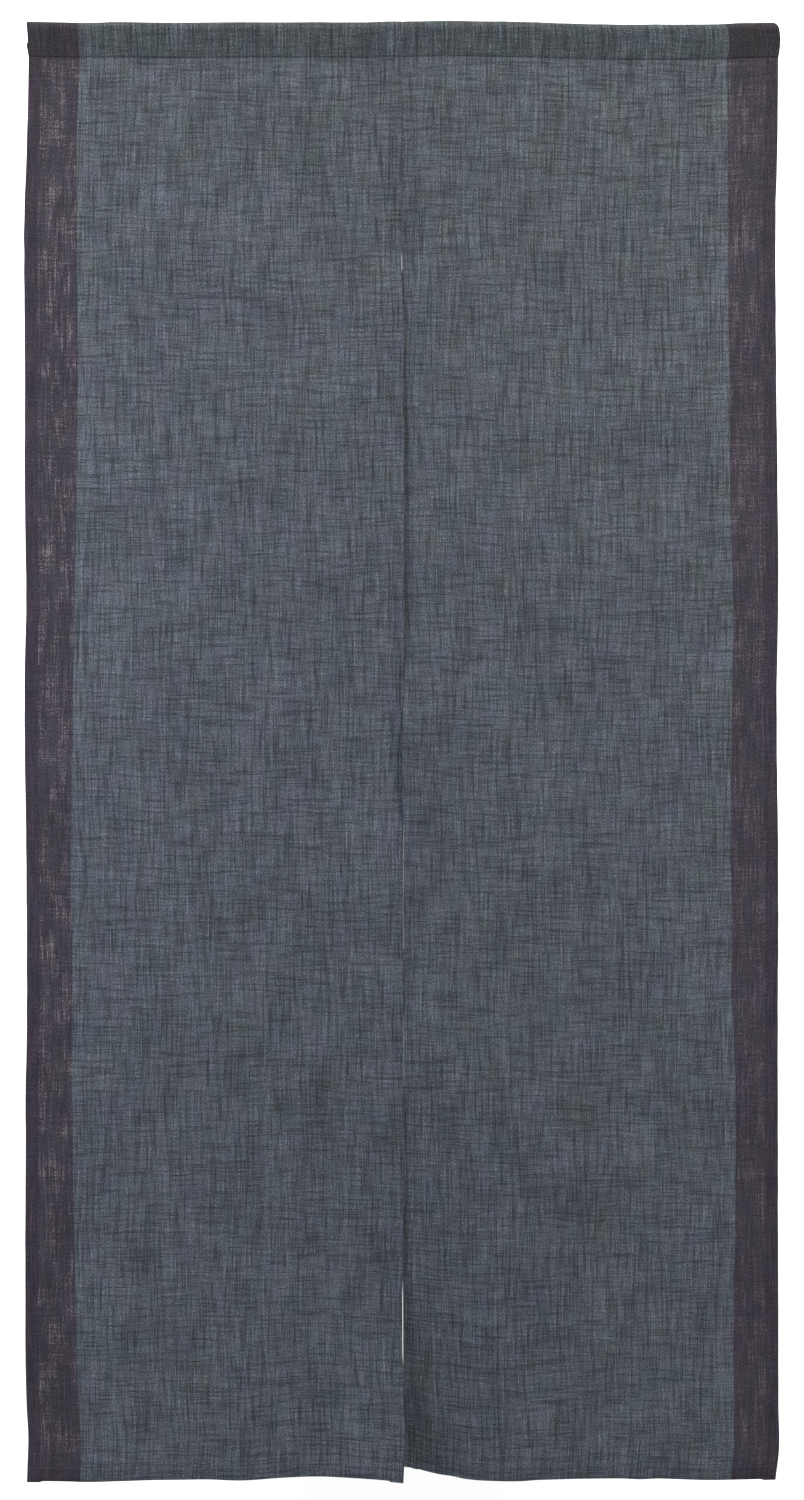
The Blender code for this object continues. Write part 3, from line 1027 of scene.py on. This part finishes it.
def cloth_material(name, dyes, level, streak, settings):
    """Slub cloth: slate with a plum band, lightened and darkened by its yarns, open between them.

    The shade is the exponential of the yarns' sum. Level is how much of the level yarns shows, and
    streak how pale a thin warp is in the slate. In the band a thin warp lets pale flecks through.
    """
    material, graph, shader = new_material(name)
    slate, plum, rose = ((*dye, 1.0) for dye in dyes)
    values = {
        "Yarn Pitch": settings.yarn_pitch,
        "Slub Pitch": settings.slub_pitch,
        "Warp Slub": settings.warp_slub,
        "Weft Slub": settings.weft_slub,
    }
    yarns = graph.add("ShaderNodeGroup", values, node_tree=find_weave()).outputs
    depth = graph.add("ShaderNodeAttribute", attribute_name="band").outputs["Fac"]
    in_band = graph.ramp(depth, -0.6, 0.6)

    dye = graph.mix(in_band, slate, graph.mix(yarns["Loose"], plum, rose))
    warp_share = graph.ramp(in_band, 0.0, 1.0, settings.warp_contrast, settings.band_contrast)
    level_contrast = settings.weft_contrast * level, settings.band_contrast * 0.4
    weft_share = graph.ramp(in_band, 0.0, 1.0, *level_contrast)
    fleck_share = graph.ramp(in_band, 0.0, 1.0, streak, settings.fleck)
    shade = graph.math("MULTIPLY", yarns["Warp"], warp_share)
    shade = graph.math("MULTIPLY_ADD", yarns["Weft"], weft_share, shade)
    shade = graph.math("MULTIPLY_ADD", yarns["Nep"], settings.nep_contrast, shade)
    shade = graph.math("MULTIPLY_ADD", yarns["Fleck"], fleck_share, shade)
    slub_share = graph.ramp(in_band, 0.0, 1.0, -settings.slub_contrast * level, 0.0)
    shade = graph.math("MULTIPLY_ADD", yarns["Slub"], slub_share, shade)
    shade = graph.math("ADD", shade, graph.ramp(depth, -24.0, -3.0, 0.0, settings.edge_contrast))
    shade = graph.math("MULTIPLY", graph.math("EXPONENT", shade), 2.0)
    grey = graph.add("ShaderNodeCombineColor", {"Red": shade, "Green": shade, "Blue": shade})
    tinted = graph.mix(1.0, grey.outputs[0], yarns["Tint"], blend="MULTIPLY")
    colour = graph.mix(1.0, dye, tinted, blend="MULTIPLY")

    closed, open_wide = settings.openness * 0.7, settings.openness * 1.3
    ground_open = graph.math("MULTIPLY_ADD", yarns["Open"], open_wide - closed, closed)
    place = graph.add("ShaderNodeUVMap", uv_map="cloth").outputs["UV"]
    across = graph.add("ShaderNodeSeparateXYZ", {"Vector": place}).outputs["X"]
    limits = (settings.left_band_openness, settings.right_band_openness)
    band_limit = graph.ramp(across, -0.1, 0.1, *limits)
    band_open = graph.math("MULTIPLY_ADD", yarns["Fleck"], band_limit, settings.openness)
    spread = graph.math("SUBTRACT", band_open, ground_open)
    clear = graph.math("MULTIPLY_ADD", spread, in_band, ground_open)

    bump = {"Height": yarns["Height"], "Strength": 0.5, "Distance": 0.0003}
    graph.feed(shader, {
        "Base Color": colour,
        "Alpha": graph.math("SUBTRACT", 1.0, clear),
        "Roughness": graph.math("MULTIPLY_ADD", yarns["Open"], -0.08, 0.92),
        "Normal": graph.add("ShaderNodeBump", bump).outputs["Normal"],
        "Specular IOR Level": 0.2,
    })
    return material


def thread_material(name, colour):
    """Spun thread: its twist lightens and darkens it along its length."""
    material, graph, shader = new_material(name)
    place = graph.add("ShaderNodeTexCoord").outputs["Object"]
    twist = graph.add("ShaderNodeTexNoise", {"Vector": place, "Scale": 2500.0, "Detail": 1.0})
    pale = tuple(min(channel * 1.6, 1.0) for channel in colour)
    dyed = graph.mix(twist.outputs["Fac"], (*colour, 1.0), (*pale, 1.0))
    graph.feed(shader, {"Base Color": dyed, "Roughness": 0.8})
    return material


def floor_material():
    """A pale matt floor with faint clouds in its paint."""
    material, graph, shader = new_material("Pale floor")
    place = graph.add("ShaderNodeTexCoord").outputs["Object"]
    cloud = graph.add("ShaderNodeTexNoise", {"Vector": place, "Scale": 3.0, "Detail": 3.0})
    paint = graph.mix(cloud.outputs["Fac"], (0.52, 0.52, 0.51, 1.0), (0.56, 0.56, 0.55, 1.0))
    graph.feed(shader, {"Base Color": paint, "Roughness": 0.7})
    return material


def find_weave():
    """The weave group, made on its first use."""
    return bpy.data.node_groups.get("Slub weave") or weave_group(yarn_group())


def find_material(name, make, *values):
    """The material of this name, made on its first use."""
    return bpy.data.materials.get(name) or make(name, *values)


def panel_cloth(scene):
    """The slub cloth of the panels. Its dyes are the cloth's own, lifted a little with painted light for
    the daylight through one layer.
    """
    colours, settings = scene.curtain_colours, scene.curtain_weave
    dyes = colours.slate, colours.plum, colours.rose
    return find_material("Panel cloth", cloth_material, dyes, 1.0, 0.0, settings)


def heading_cloth(scene):
    """The same cloth doubled over a rod, where mostly its upright streaks show. Its darker dyes are
    painted shade for the doubled layers, which let no light through.
    """
    colours, settings = scene.curtain_colours, scene.curtain_weave
    dyes = colours.shaded_heading_slate, colours.shaded_heading_plum, colours.shaded_heading_plum
    return find_material("Heading cloth", cloth_material, dyes, 0.6, 0.25, settings)


def slate_thread(scene):
    """The thread of the heading, the seam and the slate hems."""
    return find_material("Slate thread", thread_material, scene.curtain_colours.slate_thread)


def plum_thread(scene):
    """The thread of the outer side hems."""
    return find_material("Plum thread", thread_material, scene.curtain_colours.plum_thread)


def studio_world(stage):
    """White light from all round, brighter straight above and behind the cloth.

    Each part is a soft step of the direction. Looked at straight, the room is never dim.
    """
    world = bpy.data.worlds.new("White studio")
    world.use_nodes = True
    graph = Graph(world.node_tree)
    way = graph.add("ShaderNodeTexCoord").outputs["Generated"]
    parts = graph.add("ShaderNodeSeparateXYZ", {"Vector": way}).outputs
    base = graph.ramp(parts["Y"], -0.2, 0.2, stage.front_light, stage.back_light)
    up = graph.ramp(parts["Z"], -0.19, 0.19, 0.0, stage.high_light)
    out = graph.ramp(graph.math("ABSOLUTE", parts["X"]), 0.0, 0.10, 0.0, stage.side_light)
    back = graph.ramp(parts["Y"], 0.80, 0.95)
    strength = graph.math("MULTIPLY_ADD", graph.math("ADD", up, out), back, base)
    strength = graph.math("ADD", strength, graph.ramp(parts["Z"], 0.88, 0.98, 0.0, stage.sky_light))
    seen = graph.add("ShaderNodeLightPath").outputs["Is Camera Ray"]
    paper_white = 0.98
    strength = graph.math("MAXIMUM", strength, graph.math("MULTIPLY", seen, paper_white))
    white = (1.0, 1.0, 1.0, 1.0)
    graph.feed(world.node_tree.nodes["Background"], {"Color": white, "Strength": strength})
    return world


def add_lamp(lamp, factor):
    """A soft square lamp that looks at the middle of the curtain."""
    data = bpy.data.lights.new(lamp.name, "AREA")
    data.energy = lamp.power * factor
    data.color = lamp.colour
    data.size = LAMP_SIZE
    source = bpy.data.objects.new(lamp.name, data)
    source.location = lamp.place
    aim = Vector(LAMP_AIM) - source.location
    source.rotation_euler = aim.to_track_quat("-Z", "Y").to_euler()
    bpy.context.scene.collection.objects.link(source)


def make_floor(stage):
    """A round floor: a square grid of places s and t from -1 to 1, drawn in to a disc.

    Across is s times the root of 1 - t*t/2, and back is t times the root of 1 - s*s/2.
    """
    s, t = np.meshgrid(np.linspace(-1.0, 1.0, 33), np.linspace(-1.0, 1.0, 33))
    across = stage.floor_radius * s * np.sqrt(1 - t * t / 2)
    back = stage.floor_radius * t * np.sqrt(1 - s * s / 2)
    points = np.stack([across, back, np.full(s.shape, -stage.floor_drop)], axis=-1)
    index = np.arange(s.size).reshape(s.shape)
    quads = np.stack([index[:-1, :-1], index[:-1, 1:], index[1:, 1:], index[1:, :-1]], axis=-1)
    return add_piece("floor", points.reshape(-1, 3), quads.reshape(-1, 4), floor_material())


class CURTAIN_OT_hang_panels(bpy.types.Operator):
    """Hang the two hemmed panels and sew their hems"""

    bl_idname = "curtain.hang_panels"
    bl_label = "Hang Panels"

    def execute(self, context):
        scene = context.scene
        threads = slate_thread(scene), plum_thread(scene)
        for side in OUTWARD:
            make_panel(side, scene.curtain_sizes, panel_cloth(scene), *threads)
        return {"FINISHED"}


class CURTAIN_OT_fold_heading(bpy.types.Operator):
    """Fold the rod pocket along the top, and sew it and the seam below it"""

    bl_idname = "curtain.fold_heading"
    bl_label = "Fold Heading"

    def execute(self, context):
        scene = context.scene
        make_heading(scene.curtain_sizes, heading_cloth(scene), slate_thread(scene))
        return {"FINISHED"}


class CURTAIN_OT_set_stage(bpy.types.Operator):
    """Set the camera, the soft light and the pale floor"""

    bl_idname = "curtain.set_stage"
    bl_label = "Set Stage"

    def execute(self, context):
        scene, stage = context.scene, context.scene.curtain_stage
        frame_height = stage.photo_height * stage.pixel_size
        camera_data = bpy.data.cameras.new("Front camera")
        camera_data.sensor_fit = "VERTICAL"
        camera_data.sensor_height = SENSOR
        camera_data.lens = SENSOR * stage.camera_distance / frame_height
        camera = bpy.data.objects.new("Front camera", camera_data)
        camera.location = (
            (stage.photo_width / 2 - stage.middle_pixel) * stage.pixel_size,
            -stage.camera_distance,
            (stage.top_pixel - stage.photo_height / 2) * stage.pixel_size,
        )
        camera.rotation_euler = (math.pi / 2, 0.0, 0.0)
        scene.collection.objects.link(camera)
        scene.camera = camera

        for lamp in LAMPS:
            add_lamp(lamp, stage.lamp_power)
        scene.world = studio_world(stage)
        scene.view_settings.view_transform = "Standard"
        make_floor(stage)
        return {"FINISHED"}


class CURTAIN_PT_sidebar(bpy.types.Panel):
    """The steps that make the curtain"""

    bl_idname = "CURTAIN_PT_sidebar"
    bl_label = "Split Doorway Curtain"
    bl_space_type = "VIEW_3D"
    bl_region_type = "UI"
    bl_category = "Curtain"

    def draw(self, context):
        layout, scene = self.layout, context.scene
        for operator in OPERATORS:
            layout.operator(operator.bl_idname)
        for group, settings in SETTINGS:
            box = layout.box()
            for name in settings.__annotations__:
                box.prop(getattr(scene, group), name)


OPERATORS = (
    CURTAIN_OT_hang_panels,
    CURTAIN_OT_fold_heading,
    CURTAIN_OT_set_stage,
)
SETTINGS = (
    ("curtain_sizes", CurtainSizes),
    ("curtain_colours", CurtainColours),
    ("curtain_weave", WeaveSettings),
    ("curtain_stage", StageSettings),
)


def register():
    for name, settings in SETTINGS:
        bpy.utils.register_class(settings)
        setattr(bpy.types.Scene, name, bpy.props.PointerProperty(type=settings))
    for operator in OPERATORS:
        bpy.utils.register_class(operator)
    bpy.utils.register_class(CURTAIN_PT_sidebar)


def unregister():
    bpy.utils.unregister_class(CURTAIN_PT_sidebar)
    for operator in reversed(OPERATORS):
        bpy.utils.unregister_class(operator)
    for name, settings in reversed(SETTINGS):
        delattr(bpy.types.Scene, name)
        bpy.utils.unregister_class(settings)


def main():
    register()
    bpy.ops.curtain.hang_panels()
    bpy.ops.curtain.fold_heading()
    bpy.ops.curtain.set_stage()


if __name__ == "__main__":
    main()
